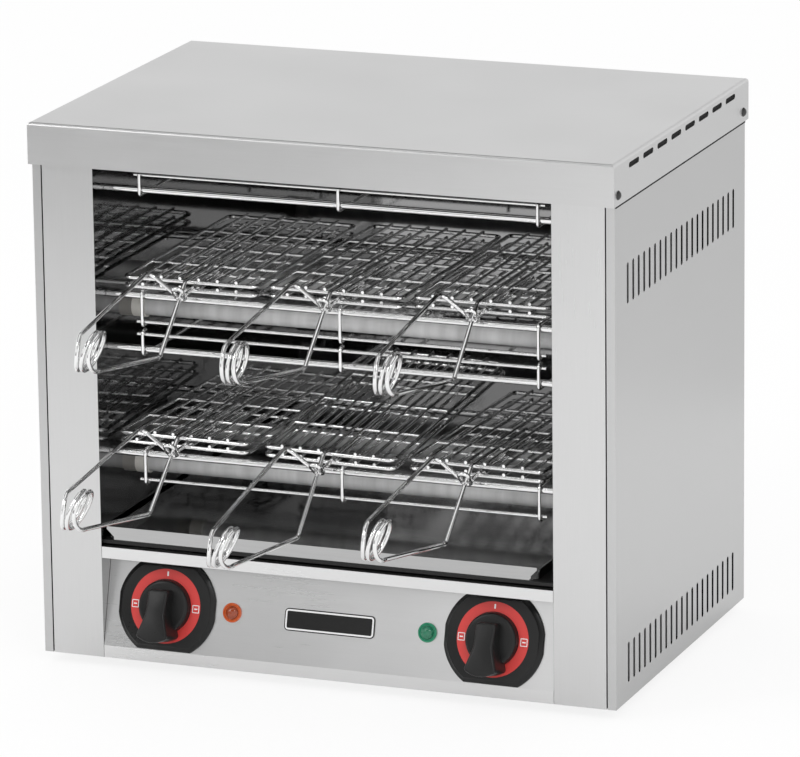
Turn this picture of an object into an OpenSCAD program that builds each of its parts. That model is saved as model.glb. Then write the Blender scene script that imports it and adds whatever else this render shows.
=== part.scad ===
// Two-level clamp toaster: a bent-sheet cabinet with quartz heaters on three levels,
// wire guards between them and six spring clamps that lie on the guards.
// Inside the modules Y runs back from the cover's front face and Z up from the cabinet's bottom edge.

/* [Cabinet] */
// Width over the top cover
case_w = 450; // [440:1:520]
// Depth over the top cover
case_d = 305; // [300:1:360]
// Height from the cabinet's bottom edge to the top of the cover
case_h = 402; // [400:1:440]
// Thickness of the outer sheet
sheet = 1; // [0.8:0.1:1.4]
// Thickness of the inner reflector sheet
liner_t = 0.8; // [0.6:0.1:1.2]
// Height of the cover's skirt
skirt_h = 31; // [26:1:36]
// Overhang of the cover past the body at the front and the back
overhang = 5; // [4:0.5:8]
// Outer bend radius of the cover
cover_bend = 2.5; // [2:0.5:4]
// Gap between the cover's skirt and the side panels
cover_gap = 0.2; // [0.1:0.1:0.5]
// Width of the front and rear returns of a side panel
side_return = 6.5; // [5:0.5:9]
// Gap between a front post and the side panel's return
seam_gap = 1; // [0.5:0.1:2]
// Width of a front post's face
post_w = 40; // [36:1:44]
// Depth of a front post's inner return
post_return = 17; // [12:1:18]
// Height of the rubber feet
foot_h = 8; // [6:1:12]
// Diameter of a rubber foot
foot_d = 24; // [18:1:30]
// Distance of the feet's centres from the cabinet's outer faces
foot_inset = 45; // [35:1:60]

/* [Vents] */
// Number of slots in a row of a side panel
vent_count = 21; // [9:1:21]
// Pitch of the side slots
vent_pitch = 12; // [9:0.5:12]
// Width of a side slot
vent_w = 4; // [2:0.5:5]
// Height of a side slot
vent_h = 30; // [20:1:36]
// Height of the lower row's centre
vent_low_z = 28.7; // [24:0.1:40]
// Height of the upper row's centre
vent_high_z = 309.5; // [280:0.5:330]
// Number of slots in each side of the cover's skirt
skirt_slots = 8; // [4:1:8]
// Pitch of the skirt slots
skirt_slot_pitch = 31.2; // [26:0.1:32]
// Length of a skirt slot
skirt_slot_l = 22; // [14:1:24]
// Height of a skirt slot
skirt_slot_h = 4; // [3:0.5:5]
// Depth of the skirt slots' centres below the cover's top
skirt_slot_drop = 7; // [6:0.5:10]

/* [Control panel] */
// Height of the control panel
panel_h = 85; // [80:1:95]
// Height of the panel's vertical bottom lip
panel_low_lip = 9.3; // [6:0.1:12]
// Height of the panel's vertical top lip
panel_top_lip = 8.6; // [6:0.1:10]
// Distance by which the panel's face leans back at its top
panel_lean = 20; // [14:0.5:22]
// Height of the knobs' axes on the panel's face
knob_z = 41.5; // [38:0.5:46]
// Distance of the knobs from the middle
knob_x = 128; // [110:1:130]
// Diameter of a knob
knob_d = 42; // [36:1:46]
// Height of a knob above its plate
knob_h = 24; // [18:1:28]
// Width of a knob's grip at its upper end
knob_bar = 13; // [10:0.5:16]
// Width of a knob plate
plate_w = 76; // [70:1:80]
// Height of a knob plate
plate_h = 66; // [60:1:68]
// Thickness of a knob plate
plate_t = 4; // [3:0.5:6]
// Diameter of a switch shaft
shaft_d = 6; // [5:0.5:8]
// Diameter of a pilot lamp's lens
lamp_d = 14.5; // [12:0.5:18]
// Distance of the pilot lamps from the middle
lamp_x = 76.5; // [60:0.5:78]

/* [Heaters and guards] */
// Height of the lowest heaters' axes
heater_z = 131; // [128:0.5:140]
// Height from one heater level to the next
level_pitch = 119.5; // [118:0.5:124]
// Distance of the front heaters from the cover's front face
heater_y = 80; // [70:1:90]
// Distance from the front to the rear heaters
heater_span = 100; // [80:1:110]
// Outer diameter of a quartz tube
tube_d = 14; // [12:0.5:16]
// Wall of a quartz tube
tube_wall = 1.5; // [1:0.1:2]
// Outer diameter of a ceramic end cap
cap_d = 17; // [17:0.5:20]
// Length of a ceramic end cap inside the cavity
cap_l = 10; // [8:0.5:14]
// Height of the rack rods above a heater axis
rack_rise = 22; // [20:0.5:26]
// Depth of the guard rods below a heater axis
guard_drop = 18; // [17:0.5:20]
// Diameter of a guard rod
rod_d = 5; // [4:0.5:6]
// Distance of the front rods from the cover's front face
rod_y = 26; // [25:0.5:32]
// Distance from the front to the rear rods
rod_span = 180; // [150:1:190]
// Diameter of the guards' hook wires and tie rods
hook_d = 2.5; // [2:0.1:3]
// Depth of a rack's front hooks below its rods
rack_hook = 22; // [18:0.5:22]
// Height of a guard's front hooks above its rods
guard_hook = 14; // [10:0.5:14]
// Places of the hook wires across the cavity
hook_x = [-147, 8, 160]; // [-160:1:160]

/* [Crumb tray] */
// Width of the crumb tray
tray_w = 336; // [320:1:338]
// Height of the crumb tray's lip
tray_h = 10; // [8:0.5:14]
// Sideways place of the tray on its shelf
tray_x = -6; // [-6:0.5:6]

/* [Clamps] */
// Pitch of the clamps across the cavity
clamp_pitch = 113; // [108:0.5:115]
// Sideways shift of each upper clamp
upper_shift = [3, 2, 0]; // [0:0.5:3]
// Sideways shift of each lower clamp
lower_shift = [-7, -3, -3]; // [-7:0.5:0]
// Distance by which each upper clamp is pulled forward
upper_pull = [6, 3, -2]; // [-2:0.5:6]
// Distance by which each lower clamp is pulled forward
lower_pull = [2, 6, 5]; // [-2:0.5:6]
// Turn of each upper clamp, its handle to the left
upper_turn = [0, 1, 0]; // [0:0.5:1]
// Turn of each lower clamp, its handle to the left
lower_turn = [2.5, 4, 2]; // [0:0.5:4]
// Clamp that lies tipped forward, counted from the upper left one
tipped_clamp = 4; // [0:1:5]
// Angle of the tipped clamp
tip_angle = 7; // [0:0.5:7]
// Distance of the guide eyes from the cover's front face, before a pull
eye_y = 13; // [11:0.5:14]
// Width of a jaw over its frame's wire centres
jaw_w = 103; // [90:1:103]
// Length of a jaw over its frame's wire centres
jaw_l = 200; // [180:1:204]
// Height between the two jaws' frames
jaw_gap = 6.5; // [6.5:0.5:16]
// Diameter of a jaw's frame wire
frame_d = 3; // [2.6:0.1:3.4]
// Diameter of a jaw's grid wires
grid_d = 2.4; // [2:0.1:2.8]
// Number of long wires between the frame's sides
long_wires = 6; // [4:2:6]
// Number of cross wires between the frame's ends
cross_wires = 3; // [2:1:4]
// Diameter of the handle wire
handle_d = 3.2; // [2.8:0.1:3.6]
// Distance from a guide eye forward to its spring's axis
handle_l = 120; // [110:1:130]
// Mean radius of a clamp spring
spring_r = 14; // [12:0.5:16]
// Opening angle that the guide eye allows
clamp_open = 3.5; // [2:0.5:4]

/* [Hidden] */
$fn = 48;

// Fits between pieces
touch_gap = 0.05;
slip_gap = 0.2;
shaft_gap = 0.05;
rest_gap = 0.3;
eye_gap = 0.45;
weld = 0.5;
bend_swell = 0.06;
bend_lap = 0.1;
over = 1;

// Planes of the cabinet
rear_gap = 4;
body_x = case_w / 2 - sheet - cover_gap;
body_front = overhang;
body_back = case_d - overhang;
body_top = case_h - cover_bend - slip_gap;
open_x = body_x - side_return - seam_gap - post_w;
wall_x = open_x + sheet;
back_in = body_back - 2 * sheet;
rear_y = back_in - rear_gap - liner_t;
inner_y = body_front + sheet;
post_back = body_front + post_return + sheet + touch_gap;
skirt_z = case_h - skirt_h;

// Levels of the heaters, the guards and the sheets around them
heater_levels = [heater_z, heater_z + level_pitch, heater_z + 2 * level_pitch];
ceiling_gap = 16;
ceiling_z = heater_levels[2] + ceiling_gap;
rack_z = [heater_levels[1] + rack_rise, heater_levels[0] + rack_rise];
guard_z = [heater_levels[2] - guard_drop, heater_levels[1] - guard_drop];
rod_rows = [rod_y, rod_y + rod_span];
heater_rows = [heater_y, heater_y + heater_span];
shelf_lip = 2.6;
shelf_air = 1.8;
shelf_z = panel_h + shelf_air + shelf_lip;
shelf_set = 4;
shelf_front = body_front + shelf_set;
base_flange_h = 14;
tray_wall = 0.8;
tray_side_h = 7;
tray_cut = 8;
tray_air = 8;

// Heater ends
cap_neck_d = 11;
cap_bore = 7;
cap_neck_l = 14;
cap_pin_d = 4;
cap_pin_l = 9;
filament_d = 5;
filament_hold = 2;

// Control panel's face
face_run = panel_h - panel_low_lip;
face_angle = atan2(panel_lean, face_run);
switch_w = 36;
switch_l = 30;
switch_lug = [5, 0.8, 17];
plate_cut_d = 86;
plate_bevel = 3.5;
bush_d = 10;
knob_skirt = 6;
knob_taper = 3;
grip_up = 11;
grip_down = 24;
grip_flare = 21;
knob_air = 0.6;
shaft_seat = 12;
lean_depth = sheet + touch_gap;
lamp_body_d = 11.5;
lamp_bezel_h = 1.5;
lamp_dome_h = 2.5;
lamp_body_l = 22;

// Fasteners and fittings
screw_d = 4;
screw_head_d = 7;
screw_head_h = 2.2;
screw_in = 8;
cover_screw_front = 9;
cover_screw_back = 12;
cover_screw_y = [cover_screw_front, case_d - cover_screw_back];
cover_screw_rise = 7.5;
back_screw_d = 3;
back_screw_head_d = 5.6;
back_screw_head_h = 1.8;
back_screw_end = 60;
back_screw_z = [back_screw_end, body_top / 2, body_top - back_screw_end];
foot_neck_d = 8;
foot_barb_d = 11;
foot_barb_h = 4;
foot_tip_d = 6;
foot_taper = 3;
foot_places = [
    for (s = [-1, 1], y = [body_front + foot_inset, body_back - foot_inset])
        [s * (body_x - foot_inset), y]
];
gland_x = body_x - 74;
gland_z = 40;
gland_bore_d = 9;
gland_neck_d = 16;
gland_head_d = 24;
gland_head_h = 3.5;
gland_taper = 3;
gland_nut_h = 6;
gland_neck_l = 10;
terminal_size = [48, 20, 22];
terminal_hole_d = 6;
terminal_hole_l = 8;

// Clamp in its own frame, with the guide eye at its origin
frame_corner = 5;
jaw_front = 18;
grid_step = frame_d / 2 + grid_d / 2 - weld;
peak = [-24, -2, 17];
low_bend = [0, -40, -36];
spring_c = [0, -handle_l, -13];
spring_span = 11;
spring_x = [peak[0], peak[0] + spring_span];
handle_bend = 6;
spine_l = 115;
spine_z = jaw_gap + frame_d / 2 + handle_d / 2 - weld;
tail_z = frame_d / 2 + handle_d / 2 - weld;
eye_r = handle_d + eye_gap;
eye_lean = atan2(-low_bend[2], -low_bend[1]);
open_dy = handle_l * (cos(clamp_open) - 1) + spring_c[2] * sin(clamp_open);
open_dz = handle_l * sin(clamp_open) - spring_c[2] * (cos(clamp_open) - 1);
eye_travel = open_dz * cos(eye_lean) - open_dy * sin(eye_lean);
upper_angle = tangent_angle(peak, 1);
lower_angle = tangent_angle(low_bend, -1);
spring_sweep = 720 + 180 + lower_angle - upper_angle;
rings_per_turn = 8;
spring_rings = ceil(rings_per_turn * spring_sweep / 360);
spring_sides = 6;
spring_points = concat(
    [spring_at(0) + handle_d * arm_dir(upper_angle)],
    [for (i = [0 : spring_rings]) spring_at(i / spring_rings)],
    [spring_at(1) + handle_d * arm_dir(lower_angle)]
);
jaw_lift = rod_d / 2 + touch_gap + hook_d + rest_gap + frame_d / 2;
reach = handle_l - eye_y + max(concat(upper_pull, lower_pull)) + spring_r + handle_d / 2;
origin_y = (case_d - reach) / 2;

// Angle above the horizontal of a wire that leaves the spring's side (1 top, -1 bottom) for a point
function tangent_angle(p, side) =
    let (dy = p[1] - spring_c[1], dz = p[2] - spring_c[2])
    atan2(dz, dy) - side * asin(spring_r / norm([dy, dz]));
function arm_dir(angle) = [0, cos(angle), sin(angle)];
// Point on the spring's helix, from the upper arm (0) to the lower arm (1)
function spring_at(t) =
    let (a = upper_angle + t * spring_sweep)
    [
        spring_x[0] + t * (spring_x[1] - spring_x[0]),
        spring_c[1] - spring_r * sin(a),
        spring_c[2] + spring_r * cos(a)
    ];
function unit(v) = v / norm(v);
function panel_y(z) = body_front + panel_lean * (z - panel_low_lip) / face_run;

// Least distance between the surfaces of two turns of a spring
spring_clear = min([
    for (i = [0 : len(spring_points) - 1], j = [i + rings_per_turn - 2 : 1 : len(spring_points) - 1])
        norm(spring_points[i] - spring_points[j])
]) - handle_d;
echo(spring_clear = spring_clear);

// Shared shapes

module in_place() {
    translate([0, -origin_y, foot_h])
        children();
}

// Round bar from a to b
module bar(a, b, d) {
    v = b - a;
    translate(a)
        rotate([0, acos(v[2] / norm(v)), atan2(v[1], v[0])])
            cylinder(d = d, h = norm(v));
}

// Arc of round wire that turns from direction u to direction v at corner q
module elbow(q, u, v, d, r) {
    turn = acos(u * v);
    n = unit(v - (u * v) * u);
    k = cross(u, n);
    c = q - r * tan(turn / 2) * u + r * n;
    multmatrix([
        [-n[0], u[0], k[0], c[0]],
        [-n[1], u[1], k[1], c[1]],
        [-n[2], u[2], k[2], c[2]]
    ])
        rotate_extrude(angle = turn)
            translate([r, 0])
                circle(d = d + 2 * bend_swell);
}

// Round wire along points, with each corner bent to radius r and the straights let into the bends
module wire(points, d, r) {
    last = len(points) - 1;
    dirs = [for (i = [0 : last - 1]) unit(points[i + 1] - points[i])];
    cuts = [
        for (i = [0 : last])
            i == 0 || i == last ? 0 : r * tan(acos(dirs[i - 1] * dirs[i]) / 2) - bend_lap
    ];
    for (i = [0 : last - 1])
        bar(points[i] + cuts[i] * dirs[i], points[i + 1] - cuts[i + 1] * dirs[i], d);
    for (i = [1 : 1 : last - 1])
        elbow(points[i], dirs[i - 1], dirs[i], d, r);
}

// Slot with round ends along X, cut through along Z
module slot(l, w, depth) {
    translate([0, 0, -depth / 2])
        linear_extrude(depth) {
            square([l - w, w], center = true);
            for (s = [-1, 1])
                translate([s * (l - w) / 2, 0])
                    circle(d = w);
        }
}

// Arch-topped strip along X with round upper corners, as a profile
module round_top(w, h, r) {
    translate([-w / 2, 0])
        square([w, h - r]);
    translate([-w / 2 + r, 0])
        square([w - 2 * r, h]);
    for (s = [-1, 1])
        translate([s * (w / 2 - r), h - r])
            circle(r = r);
}

// Inverted pan with bent upper edges, its top at z = h
module pan(w, d, h, r) {
    intersection() {
        translate([0, d / 2, 0])
            rotate([90, 0, 0])
                linear_extrude(d)
                    round_top(w, h, r);
        translate([-w / 2, 0, 0])
            rotate([90, 0, 90])
                linear_extrude(w)
                    round_top(d, h, r);
    }
}

// Places children on the slanted face of the control panel, Z outwards
module on_panel(x, z) {
    translate([x, panel_y(z), z])
        rotate([90 - face_angle, 0, 0])
            children();
}

module mirrored(side) {
    mirror([side < 0 ? 1 : 0, 0, 0])
        children();
}

// Cabinet

module top_cover() {
    color("gainsboro")
        in_place()
            translate([0, case_d / 2, skirt_z])
                difference() {
                    pan(case_w, case_d, skirt_h, cover_bend);
                    translate([0, 0, -sheet])
                        pan(case_w - 2 * sheet, case_d - 2 * sheet, skirt_h, cover_bend - sheet);
                    for (i = [0 : skirt_slots - 1])
                        translate([
                            0,
                            (i - (skirt_slots - 1) / 2) * skirt_slot_pitch,
                            skirt_h - skirt_slot_drop
                        ])
                            rotate([90, 0, 90])
                                slot(skirt_slot_l, skirt_slot_h, case_w + 2 * over);
                    for (y = cover_screw_y)
                        translate([0, y - case_d / 2, cover_screw_rise])
                            rotate([0, 90, 0])
                                cylinder(d = screw_d + 2 * slip_gap, h = case_w + 2 * over, center = true);
                }
}

module side_panel(side) {
    mid_y = (body_front + body_back) / 2;
    color("silver")
        in_place()
            mirrored(side)
                difference() {
                    union() {
                        translate([body_x - sheet, body_front, 0])
                            cube([sheet, body_back - body_front, body_top]);
                        for (y = [body_front, body_back - sheet])
                            translate([body_x - side_return, y, 0])
                                cube([side_return, sheet, body_top]);
                    }
                    for (z = [vent_low_z, vent_high_z], i = [0 : vent_count - 1])
                        translate([body_x, mid_y + (i - (vent_count - 1) / 2) * vent_pitch, z])
                            rotate([0, 90, 0])
                                slot(vent_h, vent_w, 4 * sheet);
                    for (y = cover_screw_y)
                        translate([body_x, y, skirt_z + cover_screw_rise])
                            rotate([0, 90, 0])
                                cylinder(d = screw_d + 2 * slip_gap, h = 4 * sheet, center = true);
                    for (z = back_screw_z)
                        translate([body_x - side_return / 2, body_back, z])
                            rotate([90, 0, 0])
                                cylinder(d = back_screw_d + 2 * slip_gap, h = 4 * sheet, center = true);
                }
}

module left_side_panel() {
    side_panel(-1);
}

module right_side_panel() {
    side_panel(1);
}

module back_panel() {
    panel_x = body_x - sheet - slip_gap;
    color("silver")
        in_place()
            difference() {
                translate([-panel_x, back_in, 0])
                    cube([2 * panel_x, sheet, body_top]);
                translate([gland_x, back_in, gland_z])
                    rotate([90, 0, 0])
                        cylinder(d = gland_neck_d + 2 * slip_gap, h = 4 * sheet, center = true);
                for (s = [-1, 1], z = back_screw_z)
                    translate([s * (body_x - side_return / 2), back_in, z])
                        rotate([90, 0, 0])
                            cylinder(d = back_screw_d + 2 * slip_gap, h = 4 * sheet, center = true);
            }
}

module base_plate() {
    base_x = body_x - sheet - slip_gap;
    base_l = back_in - slip_gap - inner_y;
    color("silver")
        in_place()
            difference() {
                union() {
                    translate([-base_x, inner_y, 0])
                        cube([2 * base_x, base_l, sheet]);
                    for (s = [-1, 1])
                        translate([s * (base_x - sheet / 2) - sheet / 2, inner_y + sheet, 0])
                            cube([sheet, base_l - 2 * sheet, base_flange_h]);
                }
                for (p = foot_places)
                    translate([p[0], p[1], 0])
                        cylinder(d = foot_neck_d + 2 * slip_gap, h = 4 * sheet, center = true);
            }
}

module front_post(side) {
    color("gainsboro")
        in_place()
            mirrored(side) {
                translate([open_x, body_front, 0])
                    cube([post_w, sheet, body_top]);
                for (x = [open_x, open_x + post_w - sheet])
                    translate([x, body_front, sheet + touch_gap])
                        cube([sheet, post_return + sheet, body_top - sheet - touch_gap]);
            }
}

module left_front_post() {
    front_post(-1);
}

module right_front_post() {
    front_post(1);
}

module control_panel() {
    panel_x = open_x - slip_gap;
    lean_in = sheet / cos(face_angle);
    color("silver")
        in_place()
            difference() {
                translate([-panel_x, 0, 0])
                    rotate([90, 0, 90])
                        linear_extrude(2 * panel_x)
                            polygon([
                                [body_front, 0],
                                [body_front + sheet, 0],
                                [body_front + lean_in, panel_low_lip],
                                [body_front + panel_lean + lean_in, panel_h],
                                [body_front, panel_h],
                                [body_front, panel_h - panel_top_lip],
                                [body_front + sheet, panel_h - panel_top_lip],
                                [body_front + sheet, panel_h - sheet],
                                [panel_y(panel_h - sheet), panel_h - sheet],
                                [body_front, panel_low_lip]
                            ]);
                for (s = [-1, 1]) {
                    on_panel(s * knob_x, knob_z)
                        cylinder(d = bush_d + 2 * slip_gap, h = 6 * sheet, center = true);
                    on_panel(s * lamp_x, knob_z)
                        cylinder(d = lamp_body_d + 2 * slip_gap, h = 6 * sheet, center = true);
                }
            }
}

// Cavity

module side_reflector(side) {
    low_z = shelf_z - base_flange_h;
    color("lightslategray")
        in_place()
            mirrored(side)
                difference() {
                    translate([wall_x, inner_y, low_z])
                        cube([liner_t, rear_y - inner_y, ceiling_z - low_z]);
                    for (y = rod_rows, z = concat(rack_z, guard_z))
                        translate([wall_x, y, z])
                            rotate([0, 90, 0])
                                cylinder(d = rod_d + 2 * slip_gap, h = 4 * liner_t, center = true);
                    for (y = heater_rows, z = heater_levels)
                        translate([wall_x, y, z])
                            rotate([0, 90, 0])
                                cylinder(d = cap_neck_d + 2 * slip_gap, h = 4 * liner_t, center = true);
                }
}

module left_reflector() {
    side_reflector(-1);
}

module right_reflector() {
    side_reflector(1);
}

module rear_reflector() {
    low_z = shelf_z - base_flange_h;
    high = ceiling_z - low_z;
    color("lightslategray")
        in_place()
            translate([-wall_x - liner_t, rear_y, low_z]) {
                cube([2 * (wall_x + liner_t), liner_t, high]);
                for (z = [0, high - liner_t])
                    translate([0, 0, z])
                        cube([2 * (wall_x + liner_t), liner_t + rear_gap, liner_t]);
            }
}

module ceiling_reflector() {
    top_gap = case_h - sheet - ceiling_z;
    color("lightslategray")
        in_place()
            translate([0, 0, ceiling_z]) {
                translate([-wall_x - liner_t, post_back, 0])
                    cube([2 * (wall_x + liner_t), rear_y + liner_t - post_back, liner_t]);
                translate([-open_x + touch_gap, inner_y, 0])
                    cube([2 * (open_x - touch_gap), post_back - inner_y + sheet, liner_t]);
                translate([-open_x + touch_gap, inner_y, 0])
                    cube([2 * (open_x - touch_gap), liner_t, top_gap]);
            }
}

module tray_shelf() {
    shelf_x = wall_x - touch_gap;
    color("silver")
        in_place() {
            translate([-shelf_x, post_back, shelf_z - sheet])
                cube([2 * shelf_x, rear_y - touch_gap - post_back, sheet]);
            translate([-open_x + touch_gap, shelf_front, shelf_z - sheet])
                cube([2 * (open_x - touch_gap), post_back - shelf_front + sheet, sheet]);
            translate([-open_x + touch_gap, shelf_front, shelf_z - shelf_lip])
                cube([2 * (open_x - touch_gap), sheet, shelf_lip]);
        }
}

module crumb_tray() {
    tray_front = shelf_front + sheet;
    tray_l = rear_y - tray_air - tray_front;
    color("gray")
        in_place()
            translate([tray_x, tray_front, shelf_z + touch_gap]) {
                difference() {
                    translate([-tray_w / 2, 0, 0])
                        cube([tray_w, tray_l, tray_side_h]);
                    translate([-tray_w / 2 + tray_wall, tray_wall, tray_wall])
                        cube([tray_w - 2 * tray_wall, tray_l - 2 * tray_wall, tray_side_h]);
                    for (s = [-1, 1])
                        translate([s * tray_w / 2, 0, 0])
                            rotate([0, 0, 45])
                                cube([tray_cut, tray_cut, 4 * tray_side_h], center = true);
                }
                rotate([90, 0, 0])
                    translate([0, 0, -tray_wall])
                        linear_extrude(tray_wall)
                            polygon([
                                [-tray_w / 2 + tray_cut, 0],
                                [tray_w / 2 - tray_cut, 0],
                                [tray_w / 2, tray_cut],
                                [tray_w / 2, tray_h],
                                [-tray_w / 2, tray_h],
                                [-tray_w / 2, tray_cut]
                            ]);
            }
}

// Heaters

module tubes(level) {
    tube_end = wall_x - cap_l + cap_bore - touch_gap;
    color("whitesmoke", 0.7)
        in_place()
            for (y = heater_rows)
                translate([0, y, heater_levels[level]])
                    rotate([0, 90, 0])
                        difference() {
                            cylinder(d = tube_d, h = 2 * tube_end, center = true);
                            cylinder(d = tube_d - 2 * tube_wall, h = 2 * (tube_end + over), center = true);
                        }
}

module upper_tubes() {
    tubes(2);
}

module middle_tubes() {
    tubes(1);
}

module lower_tubes() {
    tubes(0);
}

module heater_caps() {
    pocket_d = filament_d + 2 * slip_gap;
    color("oldlace")
        in_place()
            for (s = [-1, 1], y = heater_rows, z = heater_levels)
                translate([s * wall_x, y, z])
                    rotate([0, s * 90, 0])
                        difference() {
                            union() {
                                translate([0, 0, -cap_l])
                                    cylinder(d = cap_d, h = cap_l - touch_gap);
                                translate([0, 0, -cap_l / 2])
                                    cylinder(d = cap_neck_d, h = cap_l / 2 + cap_neck_l);
                                translate([0, 0, cap_neck_l])
                                    cylinder(d = cap_pin_d, h = cap_pin_l);
                            }
                            translate([0, 0, -cap_l - over])
                                cylinder(d = tube_d + 2 * slip_gap, h = cap_bore + over);
                            translate([0, 0, -cap_l])
                                cylinder(d = pocket_d, h = cap_bore + filament_hold);
                        }
}

module heater_filaments() {
    half_l = wall_x - cap_l + cap_bore + filament_hold - touch_gap;
    color("sienna")
        in_place()
            for (y = heater_rows, z = heater_levels)
                translate([0, y, z])
                    rotate([0, 90, 0])
                        cylinder(d = filament_d, h = 2 * half_l, center = true);
}

// Guards

module guard_rods() {
    rod_end = wall_x + liner_t + rod_d;
    color("lightgray")
        in_place()
            for (y = rod_rows, z = concat(rack_z, guard_z))
                translate([0, y, z])
                    rotate([0, 90, 0])
                        cylinder(d = rod_d, h = 2 * rod_end, center = true);
}

// Hook wires along a pair of rods at height z, hooks down (1) or up (-1) by drop, with their front tie rod
module guard_wires(z, way, drop) {
    off = (rod_d + hook_d) / 2 + touch_gap;
    hook_r = hook_d + slip_gap;
    front = rod_rows[0] - off;
    back = rod_rows[1] + off;
    low = -drop;
    color("lightgray")
        in_place()
            translate([0, 0, z])
                mirror([0, 0, way < 0 ? 1 : 0]) {
                    for (x = hook_x)
                        wire([
                            [x, back, -rod_d],
                            [x, back, off],
                            [x, front, off],
                            [x, front, low],
                            [x, front + 2 * hook_r, low]
                        ], hook_d, hook_r);
                    tie_y = front + hook_r;
                    tie_z = low + hook_r;
                    bar(
                        [hook_x[0] - 2 * hook_d, tie_y, tie_z],
                        [hook_x[2] + 2 * hook_d, tie_y, tie_z],
                        hook_d
                    );
                }
}

module ceiling_guard_wires() {
    guard_wires(guard_z[0], -1, guard_hook);
}

module upper_rack_wires() {
    guard_wires(rack_z[0], 1, rack_hook);
}

module lower_guard_wires() {
    guard_wires(guard_z[1], -1, guard_hook);
}

module lower_rack_wires() {
    guard_wires(rack_z[1], 1, rack_hook);
}

// Controls

module knob_plate(side) {
    color("#1c1c1c")
        in_place()
            on_panel(side * knob_x, knob_z)
                difference() {
                    intersection() {
                        cylinder(d1 = plate_cut_d, d2 = plate_cut_d - 2 * plate_bevel, h = plate_t);
                        translate([0, 0, plate_t / 2])
                            cube([plate_w, plate_h, 2 * plate_t], center = true);
                    }
                    cylinder(d = shaft_d + 4 * rest_gap, h = 4 * plate_t, center = true);
                }
}

module left_knob_plate() {
    knob_plate(-1);
}

module right_knob_plate() {
    knob_plate(1);
}

module knob(side) {
    color("#141414")
        in_place()
            on_panel(side * knob_x, knob_z)
                translate([0, 0, plate_t + knob_air])
                    difference() {
                        union() {
                            cylinder(d1 = knob_d, d2 = knob_d - knob_taper, h = knob_skirt);
                            intersection() {
                                linear_extrude(knob_h)
                                    polygon([
                                        [-knob_bar / 2, grip_up],
                                        [knob_bar / 2, grip_up],
                                        [grip_flare / 2, -grip_down],
                                        [-grip_flare / 2, -grip_down]
                                    ]);
                                cylinder(r = grip_down, h = knob_h);
                            }
                        }
                        translate([0, 0, -over])
                            cylinder(d = shaft_d + 2 * shaft_gap, h = shaft_seat + over);
                    }
}

module left_knob() {
    knob(-1);
}

module right_knob() {
    knob(1);
}

module shaft(side) {
    tail = lean_depth + switch_l / 2;
    color("lightgray")
        in_place()
            on_panel(side * knob_x, knob_z)
                translate([0, 0, -tail])
                    cylinder(d = shaft_d, h = tail + plate_t + knob_air + shaft_seat - touch_gap);
}

module left_shaft() {
    shaft(-1);
}

module right_shaft() {
    shaft(1);
}

module rotary_switch(side) {
    color("dimgray")
        in_place()
            on_panel(side * knob_x, knob_z)
                difference() {
                    union() {
                        translate([-switch_w / 2, -switch_w / 2, -lean_depth - switch_l])
                            cube([switch_w, switch_w, switch_l]);
                        translate([0, 0, -lean_depth - over])
                            cylinder(d = bush_d, h = lean_depth + over - touch_gap);
                        for (i = [-1 : 1])
                            translate([i * switch_w / 4, 0, -lean_depth - switch_l])
                                cube(switch_lug, center = true);
                    }
                    translate([0, 0, -lean_depth - switch_l / 2 - touch_gap])
                        cylinder(d = shaft_d + 2 * shaft_gap, h = switch_l);
                }
}

module left_switch() {
    rotary_switch(-1);
}

module right_switch() {
    rotary_switch(1);
}

module lamp(side) {
    dome_r = lamp_d;
    in_place()
        on_panel(side * lamp_x, knob_z) {
            translate([0, 0, -lamp_body_l])
                cylinder(d = lamp_body_d, h = lamp_body_l + lamp_bezel_h);
            translate([0, 0, touch_gap])
                cylinder(d = lamp_d, h = lamp_bezel_h - touch_gap);
            intersection() {
                cylinder(d = lamp_d - lamp_bezel_h, h = lamp_d);
                translate([0, 0, lamp_bezel_h + lamp_dome_h - dome_r])
                    sphere(r = dome_r);
            }
        }
}

module heating_lamp() {
    color("darkorange")
        lamp(-1);
}

module power_lamp() {
    color("seagreen")
        lamp(1);
}

// Electrical fittings, fasteners and feet

module terminal_block() {
    size = terminal_size;
    color("ivory")
        in_place()
            translate([gland_x - gland_head_d - size[0], body_back - 2 * gland_z, sheet])
                difference() {
                    cube(size);
                    for (i = [0 : 2])
                        translate([(i + 0.5) * size[0] / 3, size[1] / 2, size[2] - terminal_hole_l])
                            cylinder(d = terminal_hole_d, h = terminal_hole_l + over);
                }
}

module cable_gland() {
    color("#202020")
        in_place()
            translate([gland_x, back_in + sheet, gland_z])
                rotate([-90, 0, 0])
                    difference() {
                        union() {
                            translate([0, 0, touch_gap])
                                cylinder(
                                    d1 = gland_head_d,
                                    d2 = gland_head_d - gland_taper,
                                    h = gland_head_h
                                );
                            translate([0, 0, -sheet - gland_neck_l])
                                cylinder(d = gland_neck_d, h = sheet + gland_neck_l + over);
                            translate([0, 0, -sheet - touch_gap - gland_nut_h])
                                cylinder(d = gland_head_d, h = gland_nut_h, $fn = 6);
                        }
                        cylinder(d = gland_bore_d, h = 4 * gland_neck_l, center = true);
                    }
}

module dome_screw(d, head_d, head_h, l) {
    cap_r = (head_d * head_d / 4 + head_h * head_h) / (2 * head_h);
    intersection() {
        cylinder(d = head_d, h = head_h);
        translate([0, 0, head_h - cap_r])
            sphere(r = cap_r);
    }
    translate([0, 0, -l])
        cylinder(d = d, h = l + head_h / 2);
}

module cover_screws() {
    color("#181818")
        in_place()
            for (s = [-1, 1], y = cover_screw_y)
                translate([s * (case_w / 2 + touch_gap), y, skirt_z + cover_screw_rise])
                    rotate([0, s * 90, 0])
                        dome_screw(screw_d, screw_head_d, screw_head_h, screw_in);
}

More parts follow.
